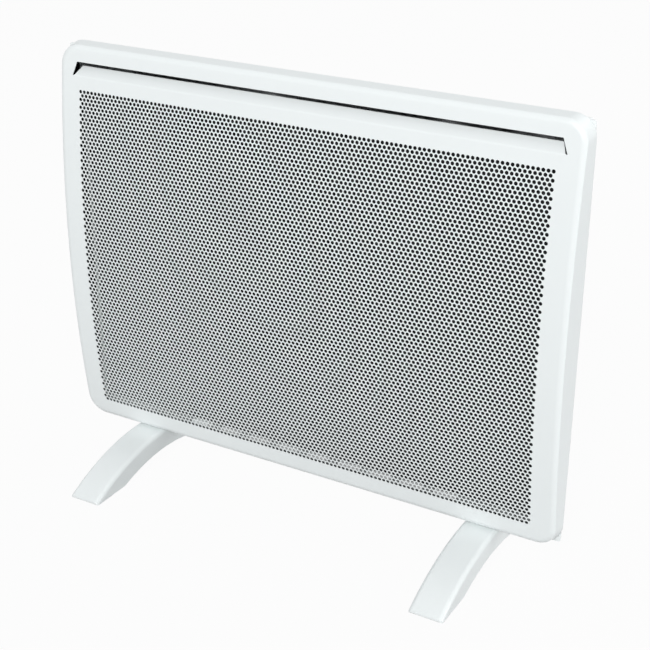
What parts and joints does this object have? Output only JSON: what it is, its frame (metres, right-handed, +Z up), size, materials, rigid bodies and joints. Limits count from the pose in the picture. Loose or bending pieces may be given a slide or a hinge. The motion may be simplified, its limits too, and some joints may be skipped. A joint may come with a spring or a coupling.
{
  "type": "radiant heater",
  "caption": "Free-standing electric radiant panel heater: bowed perforated front, hot-air slot with a folded lip, arched feet, rear control box with knob and rocker.",
  "frame": {"origin": "on the floor, midway between the feet and between their front and back tips", "axes": "+X to the right as the perforated front is faced, +Y to the back, +Z up"},
  "size_m": [0.606, 0.249, 0.4925],
  "materials": {
    "front_paint": "satin white powder coat on sheet steel",
    "tray_paint": "white powder coat on sheet steel",
    "foot_plastic": "smooth white moulding",
    "housing_plastic": "fine-grained white moulding",
    "knob_plastic": "smooth white moulding",
    "dark_plastic": "black moulding",
    "plate_coating": "matt black heat-radiating coating",
    "alloy": "extruded, mill finish",
    "bright_alloy": "bright rolled sheet",
    "sheath_steel": "heat-tinted tube",
    "zinc_steel": "galvanised sheet and plated screws",
    "ceramic": "glazed steatite",
    "board": "printed board",
    "brass": "stamped tabs",
    "lens": "amber lens",
    "black_rubber": "moulded rubber"
  },
  "bodies": {
    "casing": {"front_panel": "front_paint", "rear_tray": "tray_paint", "radiant_plate": "plate_coating", "heating_element": "sheath_steel", "element_clips": "alloy", "element_seals": "ceramic", "element_studs": "zinc_steel", "reflector": "bright_alloy", "left_upright": "zinc_steel", "right_upright": "zinc_steel", "plate_bushes": "ceramic", "plate_screws": "zinc_steel", "upright_screws": "zinc_steel", "outlet_deflector": "zinc_steel", "deflector_rivets": "alloy", "overheat_cutout": "dark_plastic", "cutout_screws": "zinc_steel", "control_housing": "housing_plastic", "housing_screws": "zinc_steel", "control_board": "board", "thermostat_body": "dark_plastic", "thermostat_nut": "zinc_steel", "switch_frame": "dark_plastic", "switch_tabs": "brass", "indicator_lens": "lens", "terminal_block": "ceramic", "cable_gland": "dark_plastic", "gland_nut": "dark_plastic", "room_sensor": "dark_plastic", "sensor_clip": "housing_plastic", "casing_screws": "zinc_steel", "left_foot": "foot_plastic", "right_foot": "foot_plastic", "foot_pads": "black_rubber", "foot_screws": "zinc_steel", "foot_nuts": "zinc_steel"},
    "knob": {"thermostat_shaft": "zinc_steel", "thermostat_knob": "knob_plastic"},
    "rocker": {"switch_rocker": "dark_plastic"}
  },
  "joints": [
    {"name": "knob_turn", "type": "hinge", "parent": "casing", "child": "knob", "pos_m": [0.23768, 0.0792, 0.4463], "axis": [0, 0, -1], "range_deg": [0, 270]},
    {"name": "rocker_tip", "type": "hinge", "parent": "casing", "child": "rocker", "pos_m": [0.17036, 0.0792, 0.4464], "axis": [0, 1, 0], "range_deg": [0, 16]}
  ]
}
